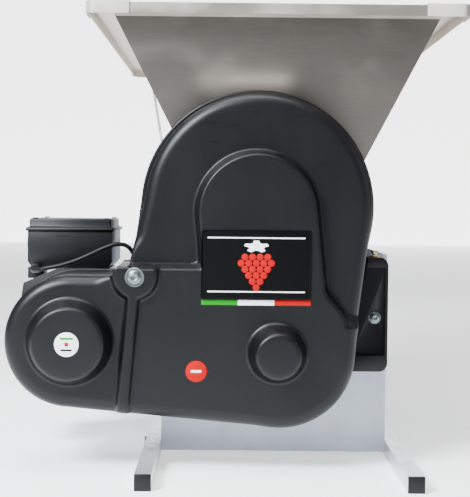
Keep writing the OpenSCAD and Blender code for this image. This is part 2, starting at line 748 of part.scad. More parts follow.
module motor_bolts() color("silver") {
    for (x = [-foot_x, foot_x], y = foot_ys) translate([motor.x + x, y + 15, foot_z]) {
        translate([0, 0, 8]) cylinder(r = 7, h = 5.5, $fn = 6);
        translate([0, 0, -bracket_t - 6]) cylinder(r = bolt_r, h = bracket_t + 15);
        translate([0, 0, -bracket_t - 6]) cylinder(r = 11, h = 6);
    }
    for (y = [bracket_y0 + 35, bracket_y1 - 35]) translate([-body_x - bracket_t, y, foot_z + 32])
        rotate([0, -90, 0]) cylinder(r = 6.5, h = 5, $fn = 6);
}

// ---------- guard ----------

module tall(g) {
    polygon(capsule(dome, dome_r + g, low_end, low_r + g));
    polygon(capsule(dome, dome_r + g, skirt, skirt_r + g));
}
module band(g) {
    polygon(capsule(motor, lobe_r + g, low_end, low_r + g));
    translate([band_left - g, 190]) square([110 + g, band_top - 190 + g]);
}
module plateau_shape(g) {
    band(g);
    polygon(capsule(plateau, plateau_r + g, [-12, 190], plateau_r + g));
}
module whole(g) {
    tall(g);
    band(g);
}
module flange_outline(g) {
    polygon(capsule(dome, dome_r + guard_lip + g, low_end, low_r + lobe_lip + g));
    polygon(capsule(dome, dome_r + guard_lip + g, skirt, skirt_r + lobe_lip + g));
    band(lobe_lip + g);
}
// A square ear of the back plate stands out beside the lobe
module plate_ear() polygon([motor, motor + [-84, 12], motor + [-76, 66], motor + [-30, 86], motor + [0, 84]]);

module belt_guard() color([0.08, 0.08, 0.09]) difference() {
    union() {
        slab_y(plate_y - 8, plate_y) flange_outline(0);
        slab_y(level1_y, plate_y - 7) whole(0);
        slab_y(level2_y, level1_y + 1) plateau_shape(0);
        slab_y(lug_y, level2_y + 1) intersection() {
            plateau_shape(0);
            union() {
                translate(lug) circle(r = lug_r);
                translate(lug) translate([-lug_r, 0]) square([2 * lug_r, 20]);
                translate(lug) rotate([0, 0, -rib_lean]) translate([-rib_w / 2, -200]) square([rib_w, 200]);
            }
        }
        cone_y(52, 46, motor_boss_y, level2_y + 1, motor);
        cone_y(35, 29, beater_boss_y, level2_y + 1, beater);
    }
    slab_y(level1_y + guard_t, plate_y + 1) whole(-guard_t);
    slab_y(level2_y + guard_t, level1_y + guard_t + 1) plateau_shape(-guard_t);
    cone_y(52 - guard_t, 46 - guard_t, motor_boss_y + guard_t, level2_y + guard_t + 1, motor);
    cone_y(35 - guard_t, 29 - guard_t, beater_boss_y + guard_t, level2_y + guard_t + 1, beater);
    rod_y(bolt_r + 0.4, lug_y - 1, level2_y + guard_t + 1, lug);
}

module guard_backplate() color([0.05, 0.05, 0.06]) difference() {
    union() {
        slab_y(plate_y, front_y) {
            flange_outline(0);
            plate_ear();
        }
        block([0, plate_y, side_box[1] + 2], [side_box[2] - 2, front_y, side_box[3] - 2]);
    }
    rod_y(journal_r + 4, plate_y - 1, front_y + 1, beater);
    for (c = [roller_l, roller_rt, auger]) rod_y(shaft_r + 3, plate_y - 1, front_y + 1, c);
    rod_y(motor_shaft_r + 8, plate_y - 1, front_y + 1, motor);
    for (c = [side_bolt, lug]) rod_y(bolt_r + 0.3, plate_y - 1, front_y + 1, c);
}

side_wall = 3;
side_recess = 5;
module side_cover() color([0.05, 0.05, 0.06]) difference() {
    block([side_box[0], side_box_y, side_box[1]], [side_box[2], plate_y, side_box[3]]);
    block([side_box[0] - 1, side_box_y - 1, side_box[1] + 21],
        [side_box[2] - 4, side_box_y + side_recess, side_box[3] - 13]);
    block([side_box[0] - 1, side_box_y + side_recess + side_wall, side_box[1] + side_wall],
        [side_box[2] - side_wall, plate_y + 1, side_box[3] - side_wall]);
    slab_y(side_box_y - 1, plate_y + 1) flange_outline(seat);
    for (z = [side_box[1], side_box[3]]) corner_cut(side_box[2], z, z > 200 ? 1 : -1);
    rod_y(bolt_r + 0.3, side_box_y - 1, plate_y + 1, side_bolt);
}

corner_r = 11;
module corner_cut(x, z, up) difference() {
    block([x - corner_r, side_box_y - 1, up > 0 ? z - corner_r : z - 1],
        [x + 1, plate_y + 1, up > 0 ? z + 1 : z + corner_r]);
    rod_y(corner_r, side_box_y - 2, plate_y + 2, [x - corner_r, z - up * corner_r]);
}

module guard_standoff() color("silver") difference() {
    rod_y(7, level2_y + guard_t, plate_y, lug);
    rod_y(bolt_r, level2_y, plate_y + 1, lug);
}

module guard_screws() color("silver") {
    rod_y(washer_r, lug_y - 1.6, lug_y, lug);
    hex_y(7, lug_y - 7, lug_y - 1.6, lug);
    rod_y(bolt_r, lug_y - 1.6, in_front + 8, lug);
    rod_y(8, side_box_y + side_recess - 1.6, side_box_y + side_recess, side_bolt);
    hex_y(6, side_box_y - 1, side_box_y + side_recess - 1.6, side_bolt);
    rod_y(bolt_r, side_box_y + side_recess - 1.6, in_front + 8, side_bolt);
}

module gap_adjuster() color("goldenrod") translate([131, plate_y - 14, side_box[3]]) {
    cylinder(r = 3, h = 9);
    cylinder(r = 7, h = 2.5, $fn = 6);
    translate([0, 0, 5]) cylinder(r = 4.5, h = 4, $fn = 6);
}

// ---------- switch box ----------

module switch_box() color([0.07, 0.07, 0.08]) {
    difference() {
        slab_y(box_y, box_y + box_l) polygon([[box_x - box_w / 2 + 6, box_z], [box_x + box_w / 2 - 6, box_z],
            [box_x + box_w / 2, box_z + 8], [box_x + box_w / 2, box_z + box_h], [box_x - box_w / 2,
                box_z + box_h],
            [box_x - box_w / 2, box_z + 8]]);
        block([box_x - box_w / 2 + box_t, box_y + box_t, box_z + 8],
            [box_x + box_w / 2 - box_t, box_y + box_l - box_t, box_z + box_h + 1]);
        for (y = button_ys) translate([box_x - box_w / 2 - 1, y, box_z + 32]) rotate([0, 90, 0])
            cylinder(r = button_r + 0.4, h = box_t + 2);
        translate([box_x, box_y + box_l + 1, inlet_z]) rotate([90, 0, 0]) cylinder(r = inlet_r + 0.2,
            h = box_t + 2);
    }
}
button_r = 11;
button_ys = [box_y + 46, box_y + 84];

module switch_box_lid() color([0.07, 0.07, 0.08]) {
    z = box_z + box_h;
    difference() {
        union() {
            block([box_x - box_w / 2 - 3, box_y - 3, z], [box_x + box_w / 2 + 3, box_y + box_l + 3, z + 5]);
            block([box_x - box_w / 2 + 2, box_y + 2, z + 4], [box_x + box_w / 2 - 2, box_y + box_l - 2,
                z + lid_h]);
        }
        block([box_x - box_w / 2 + 5, box_y + 5, z - 1], [box_x + box_w / 2 - 5, box_y + box_l - 5,
            z + lid_h - 3]);
    }
}

module box_screws() color("silver") for (x = [-1, 1], y = [0, 1])
    translate([box_x + x * (box_w / 2 - 9), y == 0 ? box_y + 9 : box_y + box_l - 9, box_z + box_h + lid_h])
        cylinder(r = 3.5, h = 1.6);

module button(y) translate([box_x - box_w / 2 - 6, y, box_z + 32]) rotate([0, 90, 0]) {
    cylinder(r = button_r, h = 8);
    translate([0, 0, 8]) cylinder(r = 4, h = 12);
}
module start_button() color("green") button(button_ys[0]);
module stop_button() color("red") button(button_ys[1]);

inlet_r = 18;
inlet_z = box_z + box_h / 2;
module mains_inlet() color("royalblue") translate([box_x, box_y + box_l - box_t, inlet_z]) rotate([-90, 0,
    0]) {
    difference() {
        union() {
            cylinder(r = inlet_r, h = 24);
            translate([0, 0, box_t]) cylinder(r = inlet_r + 4, h = 4);
        }
        translate([0, 0, 5]) cylinder(r = inlet_r - 3, h = 30);
    }
    for (a = [90, 210, 330]) rotate([0, 0, a]) translate([8, 0, 4]) cylinder(r = 2.4, h = 16);
}

gland_r = 7;
module lead_glands() color("black") {
    difference() {
        union() {
            hex_y(gland_r + 1, lead_points[0].y + 4, lead_points[0].y + 10, [lead_points[0].x,
                lead_points[0].z]);
            rod_y(gland_r - 1, lead_points[0].y, lead_points[0].y + 4, [lead_points[0].x, lead_points[0].z]);
        }
        rod_y(lead_d / 2, lead_points[0].y - 1, lead_points[0].y + 4, [lead_points[0].x, lead_points[0].z]);
    }
    block([box_x - box_w / 2 + 0.5, lead_points[0].y + 10, box_z - 15], [box_x - box_w / 2 + 22, box_y + 40,
        box_z]);
    translate([lead_points[len(lead_points) - 1].x, lead_points[len(lead_points) - 1].y,
        lead_points[len(lead_points) - 1].z])
        rotate([0, 90, 0]) {
            cylinder(r = 9, h = 3);
            translate([0, 0, 3]) cylinder(r = 5.9, h = sheet + 2);
            translate([0, 0, 3 + sheet]) cylinder(r = 9, h = 3);
        }
}

// One ring of the swept lead, square to the line between its neighbours
function lead_ring(i) =
    let (n = len(lead_points), p = lead_points[i],
        t = lead_points[min(n - 1, i + 1)] - lead_points[max(0, i - 1)],
        d = t / norm(t), u0 = cross(d, [0, 0, 1]), u = u0 / norm(u0), v = cross(u, d))
    [for (k = [0:lead_sides - 1]) p + lead_d / 2 * (cos(360 * k / lead_sides)
        * u + sin(360 * k / lead_sides) * v)];

module lead() color("black") {
    n = len(lead_points);
    m = lead_sides;
    polyhedron([for (i = [0:n - 1]) each lead_ring(i)],
        concat([[for (k = [m - 1:-1:0]) k]],
            [for (i = [0:n - 2], k = [0:m - 1]) [m * i + k, m * i + (k + 1) % m, m * (i + 1) + (k + 1) % m,
                m * (i + 1) + k]],
            [[for (k = [0:m - 1]) m * (n - 1) + k]]));
}

// ---------- nodes ----------

place() runners();
place() runner_plugs();
place() runner_bolts();
place() drive_panel();
place() stem_panel();
place() side_panel(-1);  // side_panel_left
place() side_panel(1);  // side_panel_right
place() top_deck();
place() hopper();
place() hopper_corner_caps();
place() hopper_struts();
place() strut_bolts();
place() hopper_front_bracket();
place() hopper_rear_saddle();
place() roller_frame();
place() roller(roller_l, wheel_y - gear_t - 3, 0);  // roller_left
place() roller(roller_rt, feed_y - gear_t - 1, 18);  // roller_right
place() roller_bushes();
place() roller_gear_left();
place() roller_gear_right();
place() auger_shaft();
place() auger_flight();
place() auger_bearings();
place() auger_gear();
place() feed_pinion();
place() drive_wheel();
place() beater_shaft();
place() beater_paddles();
place() beater_bearings();
place() beater_bridge();
place() drive_pinion();
place() beater_pulley();
place() cage();
place() stem_chute();
place() drive_belt();
place() motor_pulley();
place() motor_frame();
place() motor_stator();
place() motor_rotor();
place() motor_fan();
place() motor_fan_cover();
place() motor_end_shields();
place() motor_bracket();
place() motor_bolts();
place() belt_guard();
place() guard_backplate();
place() side_cover();
place() guard_standoff();
place() guard_screws();
place() gap_adjuster();
place() switch_box();
place() switch_box_lid();
place() box_screws();
place() start_button();
place() stop_button();
place() mains_inlet();
place() lead_glands();
place() lead();
place() pulley_nuts();
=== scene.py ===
"""A grape crusher and destemmer: its finishes, its moulded covers and lead, and a plain studio."""

import json
import math

import bpy
import numpy as np
from mathutils import Matrix, Vector

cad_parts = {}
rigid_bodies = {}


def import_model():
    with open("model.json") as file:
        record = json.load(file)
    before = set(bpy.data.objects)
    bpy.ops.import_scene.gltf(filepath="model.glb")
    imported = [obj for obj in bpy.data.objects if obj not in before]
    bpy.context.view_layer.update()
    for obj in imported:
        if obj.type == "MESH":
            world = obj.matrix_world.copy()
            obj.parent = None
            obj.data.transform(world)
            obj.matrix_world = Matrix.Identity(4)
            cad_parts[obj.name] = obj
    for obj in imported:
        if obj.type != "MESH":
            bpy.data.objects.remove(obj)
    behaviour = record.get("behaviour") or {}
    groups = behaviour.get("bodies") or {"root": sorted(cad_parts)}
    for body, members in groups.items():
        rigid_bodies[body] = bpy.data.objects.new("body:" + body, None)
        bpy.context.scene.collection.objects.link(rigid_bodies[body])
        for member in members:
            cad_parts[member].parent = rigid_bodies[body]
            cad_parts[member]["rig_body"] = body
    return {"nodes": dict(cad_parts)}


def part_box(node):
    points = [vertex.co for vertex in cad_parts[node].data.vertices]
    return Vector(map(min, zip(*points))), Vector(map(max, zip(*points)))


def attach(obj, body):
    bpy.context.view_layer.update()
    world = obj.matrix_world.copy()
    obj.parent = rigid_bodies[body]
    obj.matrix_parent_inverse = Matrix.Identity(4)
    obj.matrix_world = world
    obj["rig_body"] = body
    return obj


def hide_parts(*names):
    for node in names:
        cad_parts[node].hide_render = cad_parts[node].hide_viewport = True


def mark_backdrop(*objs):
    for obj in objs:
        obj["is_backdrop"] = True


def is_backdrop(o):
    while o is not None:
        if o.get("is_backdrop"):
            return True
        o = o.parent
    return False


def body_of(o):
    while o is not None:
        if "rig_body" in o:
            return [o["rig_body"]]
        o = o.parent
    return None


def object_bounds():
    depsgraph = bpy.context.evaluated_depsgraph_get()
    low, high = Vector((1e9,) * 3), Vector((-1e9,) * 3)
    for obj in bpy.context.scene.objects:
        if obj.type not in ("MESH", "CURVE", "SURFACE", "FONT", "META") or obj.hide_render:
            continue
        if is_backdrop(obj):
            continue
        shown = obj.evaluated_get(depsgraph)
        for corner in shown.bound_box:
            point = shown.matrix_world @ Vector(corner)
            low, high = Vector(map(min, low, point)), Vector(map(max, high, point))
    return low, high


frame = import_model()
machine_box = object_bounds()

mm = 0.001


def middle(node):
    low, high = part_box(node)
    return (low + high) / 2


beater = middle("beater_pulley")
motor = middle("motor_pulley")


def at(x, y, z):
    """A place in the machine's own millimetres, with x from its middle plane."""
    return Vector((beater.x + x * mm, y * mm, z * mm))


# The camera stands low in front, nearly square to the belt guard.

camera_heading = math.radians(-0.3)
camera_pitch = math.radians(88.06)
camera_roll = math.radians(0.58)

bpy.ops.object.camera_add(location=at(-62.9, -2161, 337))
camera = bpy.context.object
aimed = Matrix.Rotation(camera_heading, 4, "Z") @ Matrix.Rotation(camera_pitch, 4, "X")
camera.rotation_euler = (aimed @ Matrix.Rotation(camera_roll, 4, "Z")).to_euler()
camera.data.lens = 97.5
camera.data.sensor_width = 36
bpy.context.scene.camera = camera


# The shop's tools: small steps that every piece is made with. An edge that turns by more
# than sharp_from, in radians, is one to ease.

sharp_from = 0.6


def clear():
    if bpy.context.mode != "OBJECT":
        bpy.ops.object.mode_set(mode="OBJECT")
    bpy.ops.object.select_all(action="DESELECT")


def take(piece):
    clear()
    piece.select_set(True)
    bpy.context.view_layer.objects.active = piece


def settle(piece):
    """Moves a piece's place, turn and scale into its mesh."""
    take(piece)
    bpy.ops.object.transform_apply(location=True, rotation=True, scale=True)


def points_of(piece):
    found = np.zeros(len(piece.data.vertices) * 3)
    piece.data.vertices.foreach_get("co", found)
    return found.reshape(-1, 3)


def put_points(piece, points):
    piece.data.vertices.foreach_set("co", points.ravel())
    piece.data.update()


def apply(piece, kind, **settings):
    """Puts a modifier on a piece and makes its result the mesh."""
    take(piece)
    step = piece.modifiers.new(kind.title(), kind)
    for setting, value in settings.items():
        setattr(step, setting, value)
    bpy.ops.object.modifier_apply(modifier=step.name)


def smooth(piece, angle=35):
    take(piece)
    bpy.ops.object.shade_smooth_by_angle(angle=math.radians(angle))


def grow(piece, place):
    """Pulls the chosen open edge out by one ring, and lays the new points with place()."""
    bpy.ops.object.mode_set(mode="EDIT")
    bpy.ops.mesh.extrude_edges_move()
    bpy.ops.object.mode_set(mode="OBJECT")
    chosen = np.zeros(len(piece.data.vertices), bool)
    piece.data.vertices.foreach_get("select", chosen)
    points = points_of(piece)
    points[chosen] = place(points[chosen])
    put_points(piece, points)


def close_and_face_out():
    """Closes the chosen open edge with one face, merges doubles and turns every face outwards."""
    bpy.ops.object.mode_set(mode="EDIT")
    bpy.ops.mesh.edge_face_add()
    bpy.ops.mesh.select_all(action="SELECT")
    bpy.ops.mesh.remove_doubles(threshold=0.01 * mm)
    bpy.ops.mesh.normals_make_consistent(inside=False)
    bpy.ops.object.mode_set(mode="OBJECT")


def turned(name, foot, steps, sides):
    """A turned piece: steps are (radius, height) in mm, from its foot towards the front."""
    clear()
    facing = Vector((0, -1, 0))
    turn = Vector((0, 0, 1)).rotation_difference(facing)
    bpy.ops.mesh.primitive_circle_add(
        vertices=sides,
        radius=steps[0][0] * mm,
        fill_type="NGON",
        location=foot + facing * steps[0][1] * mm,
        rotation=turn.to_euler(),
    )
    piece = bpy.context.object
    piece.name = name
    settle(piece)
    bpy.ops.object.mode_set(mode="EDIT")
    bpy.ops.mesh.select_all(action="SELECT")
    bpy.ops.object.mode_set(mode="OBJECT")
    axis = np.array(facing)
    start = np.array(foot)
    for radius, height in steps[1:]:

        def place(points):
            out = points - start
            out -= np.outer(out @ axis, axis)
            out *= radius * mm / np.linalg.norm(out, axis=1)[:, None]
            return start + out + axis * height * mm

        grow(piece, place)
    close_and_face_out()
    smooth(piece)
    return piece


def rounded_block(name, low, high, edge, corners=None):
    """A block between two corners: those seen from the front are rounded, then its edges are eased."""
    clear()
    size = high - low
    bpy.ops.mesh.primitive_cube_add(size=1, location=(low + high) / 2, scale=size)
    piece = bpy.context.object
    piece.name = name
    settle(piece)
    if corners:
        bpy.ops.object.mode_set(mode="EDIT")
        bpy.ops.mesh.select_all(action="DESELECT")
        bpy.ops.object.mode_set(mode="OBJECT")
        for side in piece.data.edges:
            a, b = (piece.data.vertices[v].co for v in side.vertices)
            side.select = abs(a.y - b.y) > 0.5 * size.y
        bpy.ops.object.mode_set(mode="EDIT")
        bpy.ops.mesh.select_mode(type="EDGE")
        bpy.ops.mesh.bevel(offset=corners, segments=8)
        bpy.ops.object.mode_set(mode="OBJECT")
    apply(piece, "BEVEL", width=edge, segments=1, limit_method="ANGLE")
    smooth(piece)
    return piece


def joined(name, pieces):
    clear()
    for piece in pieces:
        piece.select_set(True)
    bpy.context.view_layer.objects.active = pieces[0]
    bpy.ops.object.join()
    whole = bpy.context.object
    whole.name = name
    return whole


def eased(node, width):
    """A copy of a machine part with its sharp edges eased, standing in for the part."""
    part = frame["nodes"][node]
    piece = bpy.data.objects.new(node + "_eased", part.data.copy())
    bpy.context.collection.objects.link(piece)
    take(piece)
    bpy.ops.object.mode_set(mode="EDIT")
    bpy.ops.mesh.select_all(action="SELECT")
    bpy.ops.mesh.remove_doubles(threshold=0.02 * mm)
    bpy.ops.mesh.dissolve_limited(angle_limit=math.radians(0.5))
    bpy.ops.object.mode_set(mode="OBJECT")
    apply(piece, "BEVEL", width=width * mm, segments=2, limit_method="ANGLE", angle_limit=sharp_from)
    smooth(piece)
    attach(piece, body_of(part)[0])
    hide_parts(node)
    return piece


# Finishes. A Wire is one value in a look, and ordinary sums on it add the nodes.


class Wire:
    def __init__(self, look, socket):
        self.look = look
        self.socket = socket

    def sum_with(self, operation, first, second):
        return self.look.node("ShaderNodeMath", {"operation": operation}, {0: first, 1: second})

    def __add__(self, other):
        return self.sum_with("ADD", self, other)

    def __radd__(self, other):
        return self.sum_with("ADD", other, self)

    def __sub__(self, other):
        return self.sum_with("SUBTRACT", self, other)

    def __rsub__(self, other):
        return self.sum_with("SUBTRACT", other, self)

    def __mul__(self, other):
        return self.sum_with("MULTIPLY", self, other)


class Look:
    """One finish: a shader, and the nodes that vary it over a piece."""

    def __init__(self, name, **steady):
        self.material = bpy.data.materials.new(name)
        self.material.use_nodes = True
        self.tree = self.material.node_tree
        self.shader = self.tree.nodes["Principled BSDF"]
        for socket, value in steady.items():
            self.shader.inputs[socket.replace("_", " ")].default_value = value
        self.place = self.node("ShaderNodeTexCoord", out="Object")

    def node(self, kind, settings=None, sockets=None, out=0):
        made = self.tree.nodes.new(kind)
        for setting, value in (settings or {}).items():
            setattr(made, setting, value)
        for socket, value in (sockets or {}).items():
            if isinstance(value, Wire):
                self.tree.links.new(value.socket, made.inputs[socket])
            else:
                made.inputs[socket].default_value = value
        return Wire(self, made.outputs[out])

    def drive(self, socket, wire):
        self.tree.links.new(wire.socket, self.shader.inputs[socket])

    def cloud(self, size, stretch=(1, 1, 1), detail=3, turn=(0, 0, 0)):
        """Soft blotches of about size mm, drawn out along the axes whose stretch is large."""
        scale = tuple(1 / (size * mm * s) for s in stretch)
        spot = self.node("ShaderNodeMapping", None, {"Vector": self.place, "Scale": scale, "Rotation": turn})
        return self.node("ShaderNodeTexNoise", None, {"Vector": spot, "Scale": 1, "Detail": detail})

    def above(self, wire, low, high):
        return self.node(
            "ShaderNodeMapRange",
            {"interpolation_type": "SMOOTHSTEP"},
            {"Value": wire, "From Min": low, "From Max": high},
        )

    def tint(self, amount, plain, other):
        plain = plain if isinstance(plain, Wire) else (*plain, 1)
        other = other if isinstance(other, Wire) else (*other, 1)
        return self.node("ShaderNodeMix", {"data_type": "RGBA"}, {0: amount, 6: plain, 7: other}, 2)

    def relief(self, height, depth, under=None):
        sockets = {"Height": height, "Distance": depth * mm, "Strength": 1}
        if under:
            sockets["Normal"] = under
        return self.node("ShaderNodeBump", None, sockets)

    def upward(self):
        facing = self.node("ShaderNodeTexCoord", out="Normal")
        return self.node("ShaderNodeSeparateXYZ", None, {0: facing}, "Z")


def shade_of(colour, factor):
    return tuple(min(1, c * factor) for c in colour)


def moulded(name, colour, gloss=0.5, grain=0.7, depth=0.03, dust=0.25, **steady):
    """Moulded plastic: a fine spark-eroded grain, faint flow marks, rub marks and settled dust."""
    look = Look(name, **steady)
    flow = look.cloud(70, (1, 1, 1.6), 2)
    fine = look.cloud(grain, detail=2)
    rub = look.above(look.cloud(3, (9, 1, 2), 4, (0.2, 0.5, 0.1)), 0.62, 0.72)
    settled = look.above(look.upward(), 0.55, 1) * look.above(look.cloud(14), 0.3, 0.75) * dust
    body = look.tint(look.above(flow, 0.3, 0.7), shade_of(colour, 0.82), shade_of(colour, 1.2))
    body = look.tint(rub * 0.18, body, shade_of(colour, 2.2))
    look.drive("Base Color", look.tint(settled, body, (0.30, 0.28, 0.25)))
    look.drive("Roughness", 1 - gloss - 0.1 + flow * 0.14 + fine * 0.12 + settled * 0.3 - rub * 0.08)
    look.drive("Normal", look.relief(flow, 0.12, look.relief(fine, depth)))
    return look.material


def brushed(name, colour, along, gloss=0.68, blotch=0.3, warm=(0.5, 0.45, 0.4), rim=None):
    """Rolled stainless sheet: brush lines along one axis, smudges, and a painted highlight that makes the
    steel brighter above a height, where the rolled rim is.
    """
    look = Look(name, Metallic=1)
    lines = look.cloud(0.5, tuple(90 if axis in along else 1 for axis in "xyz"), 4)
    broad = look.cloud(5, tuple(30 if axis in along else 1 for axis in "xyz"), 3)
    smudge = look.above(look.cloud(55, detail=4), 0.42, 0.68)
    scratch = look.above(look.cloud(1.2, (1, 1, 45), 2, (0.5, 0.3, 0.2)), 0.7, 0.76)
    metal = look.tint(lines, shade_of(colour, 0.8), shade_of(colour, 1.14))
    metal = look.tint(smudge * blotch, metal, warm)
    metal = look.tint(scratch * 0.3, metal, shade_of(colour, 1.5))
    if rim:
        height = look.node("ShaderNodeSeparateXYZ", None, {0: look.place}, "Z")
        # Painted highlight: above the height rim the steel is made four times brighter, standing in for the
        # light the rolled rim catches.
        metal = look.tint(look.above(height, rim - 0.4 * mm, rim), metal, shade_of(colour, 4))
    look.drive("Base Color", metal)
    look.drive("Roughness", 1 - gloss - 0.08 + lines * 0.14 + smudge * 0.1 + broad * 0.06)
    look.drive("Normal", look.relief(broad, 0.03, look.relief(lines, 0.012)))
    return look.material


def powder_coated(name, colour, gloss=0.62, peel=1.8, depth=0.035, dirt=0.2):
    """Powder coat: orange peel, a slight drift in tone, specks, and patches of grime."""
    look = Look(name, Coat_Weight=0.15, Coat_Roughness=0.25)
    drift = look.cloud(120, detail=2)
    skin = look.cloud(peel, detail=1)
    speck = look.above(look.cloud(2.2, detail=1), 0.74, 0.8)
    grime = look.above(look.cloud(26, (1, 1, 2.5), 5), 0.5, 0.8) * dirt
    paint = look.tint(look.above(drift, 0.3, 0.7), shade_of(colour, 0.93), shade_of(colour, 1.07))
    paint = look.tint(speck * 0.35, paint, shade_of(colour, 0.55))
    look.drive("Base Color", look.tint(grime, paint, (0.25, 0.22, 0.19)))
    look.drive("Roughness", 1 - gloss - 0.05 + drift * 0.1 + grime * 0.5)
    look.drive("Normal", look.relief(skin, depth))
    return look.material


def galvanised(name, colour, spangle=7, gloss=0.6):
    """Zinc plate: crystals of differing grey, with a white bloom between them."""
    look = Look(name, Metallic=0.9)
    spot = look.node("ShaderNodeMapping", None, {"Vector": look.place, "Scale": (1 / (spangle * mm),) * 3})
    crystal = look.node("ShaderNodeTexVoronoi", None, {"Vector": spot, "Scale": 1}, "Color")
    tone = look.node("ShaderNodeSeparateXYZ", None, {0: crystal}, "X")
    rolled = look.cloud(0.8, (1, 40, 1), 3)
    bloom = look.above(look.cloud(18, detail=5), 0.5, 0.75)
    metal = look.tint(tone, shade_of(colour, 0.82), shade_of(colour, 1.1))
    look.drive("Base Color", look.tint(bloom * 0.25, metal, (0.8, 0.8, 0.8)))
    look.drive("Roughness", 1 - gloss - 0.1 + tone * 0.16 + bloom * 0.15 + rolled * 0.06)
    look.drive("Normal", look.relief(rolled, 0.02, look.relief(tone, 0.01)))
    return look.material


def machined(name, colour, gloss=0.65, pitch=0.6, pitting=0.0, metal=1):
    """Turned metal: tool marks round its axis, with stains, and pits where it is cast."""
    look = Look(name, Metallic=metal)
    marks = look.cloud(pitch, (40, 1, 40), 2)
    stain = look.above(look.cloud(9, detail=4), 0.45, 0.7)
    pits = look.above(look.cloud(1.1, detail=3), 0.55, 0.7)
    body = look.tint(marks, shade_of(colour, 0.85), shade_of(colour, 1.15))
    body = look.tint(stain * 0.3, body, shade_of(colour, 0.55))
    look.drive("Base Color", look.tint(pits * pitting, body, shade_of(colour, 0.4)))
    look.drive("Roughness", 1 - gloss - 0.05 + marks * 0.1 + stain * 0.16 + pits * pitting * 0.3)
    look.drive("Normal", look.relief(pits, 0.12 * pitting, look.relief(marks, 0.012)))
    return look.material


def plated(name, colour, other, gloss=0.7):
    """Plated fasteners: a bright skin whose colour drifts, dulled in scattered patches."""
    look = Look(name, Metallic=1)
    drift = look.above(look.cloud(3.5, detail=3), 0.35, 0.65)
    dull = look.above(look.cloud(1.6, detail=4), 0.5, 0.75)
    skin = look.tint(drift, colour, other)
    look.drive("Base Color", look.tint(dull * 0.35, skin, shade_of(colour, 0.6)))
    look.drive("Roughness", 1 - gloss + dull * 0.2)
    look.drive("Normal", look.relief(look.cloud(0.5, detail=2), 0.008))
    return look.material


def rubbered(name, colour, gloss=0.35, dust=0.3, **steady):
    """Rubber: a dull skin with bloom and fine moulding grain."""
    look = Look(name, **steady)
    skin = look.cloud(0.5, detail=3)
    bloom = look.above(look.cloud(11, detail=4), 0.45, 0.75)
    settled = look.above(look.upward(), 0.5, 1) * bloom * dust
    body = look.tint(bloom, shade_of(colour, 0.8), shade_of(colour, 1.35))
    look.drive("Base Color", look.tint(settled, body, (0.25, 0.24, 0.22)))
    look.drive("Roughness", 1 - gloss - 0.06 + skin * 0.12 + bloom * 0.1)
    look.drive("Normal", look.relief(skin, 0.03))
    return look.material


def wound(name):
    """Varnished copper wire in bundles, over a stack of dark core plates."""
    look = Look(name, Coat_Weight=0.5)
    wires = look.above(look.cloud(0.7, (1, 60, 1), 1), 0.4, 0.6)
    bundle = look.cloud(9, (1, 8, 1), 2)
    copper = look.tint(wires, (0.24, 0.09, 0.03), (0.62, 0.28, 0.11))
    look.drive("Base Color", look.tint(look.above(bundle, 0.55, 0.6), copper, (0.12, 0.11, 0.11)))
    look.drive("Metallic", 0.5 + wires * 0.3)
    look.drive("Roughness", 0.5 - wires * 0.2)
    look.drive("Normal", look.relief(wires, 0.2))
    return look.material


def pressed_button(name, colour):
    """Glossy button plastic with finger marks."""
    look = Look(name, Coat_Weight=0.4, Coat_Roughness=0.1)
    finger_marks = look.above(look.cloud(5, detail=5), 0.45, 0.65)
    look.drive("Base Color", look.tint(finger_marks, shade_of(colour, 0.9), shade_of(colour, 1.15)))
    look.drive("Roughness", 0.22 + finger_marks * 0.16)
    look.drive("Normal", look.relief(look.cloud(0.9, detail=2), 0.01))
    return look.material


def printed(name, colour, gloss=0.6, **steady):
    """Printed film: even ink with tiny flecks and a faint wrinkle."""
    look = Look(name, **steady)
    flecks = look.above(look.cloud(0.9, detail=2), 0.68, 0.76)
    wrinkle = look.cloud(22, detail=2)
    look.drive("Base Color", look.tint(flecks * 0.12, colour, shade_of(colour, 0.7)))
    look.drive("Roughness", 1 - gloss + wrinkle * 0.12)
    look.drive("Normal", look.relief(wrinkle, 0.05))
    return look.material


guard_black = moulded(
    "guard_black", (0.0016, 0.0018, 0.0024), 0.62, 1.2, 0.045, 0.03, Specular_IOR_Level=0.26
)
matt_black = moulded("matt_black", (0.003, 0.003, 0.0035), 0.55, 0.9, 0.03, 0.06, Specular_IOR_Level=0.28)
box_black = moulded("box_black", (0.0024, 0.0026, 0.0035), 0.6, 0.9, 0.03, 0.04, Specular_IOR_Level=0.28)
cap_grey = moulded("cap_grey", (0.40, 0.37, 0.34), 0.5, 1.0, 0.02, 0.1)
gear_ivory = moulded("gear_ivory", (0.62, 0.58, 0.46), 0.5, 0.6, 0.02, 0.1)
bush_white = moulded("bush_white", (0.58, 0.57, 0.52), 0.5, 0.6, 0.02, 0.1)
paddle_dark = moulded("paddle_dark", (0.03, 0.03, 0.032), 0.4, 1.2, 0.04, 0.1)
inlet_blue = moulded("inlet_blue", (0.02, 0.08, 0.34), 0.65, 0.8, 0.01, 0.1)
panel_paint = powder_coated("panel_paint", (0.54, 0.60, 0.69))
motor_paint = powder_coated("motor_paint", (0.17, 0.155, 0.145), 0.5, 1.2, 0.05, 0.3)
zinc_sheet = galvanised("zinc_sheet", (0.66, 0.68, 0.70))
# Painted highlight on the hopper's rolled rim: the steel above this height is made brighter.
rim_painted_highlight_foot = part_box("hopper")[1].z - 14 * mm
hopper_steel = brushed("hopper_steel", (0.165, 0.15, 0.134), "x", 0.7, 0.3, (0.17, 0.15, 0.132), rim_painted_highlight_foot)
cage_steel = brushed("cage_steel", (0.56, 0.55, 0.53), "y", 0.68, 0.25)
flight_steel = brushed("flight_steel", (0.56, 0.55, 0.53), "xz", 0.7, 0.2)
shaft_steel = machined("shaft_steel", (0.55, 0.55, 0.55), 0.7)
cast_iron = machined("cast_iron", (0.16, 0.16, 0.165), 0.5, 0.9, 0.7, 0.8)
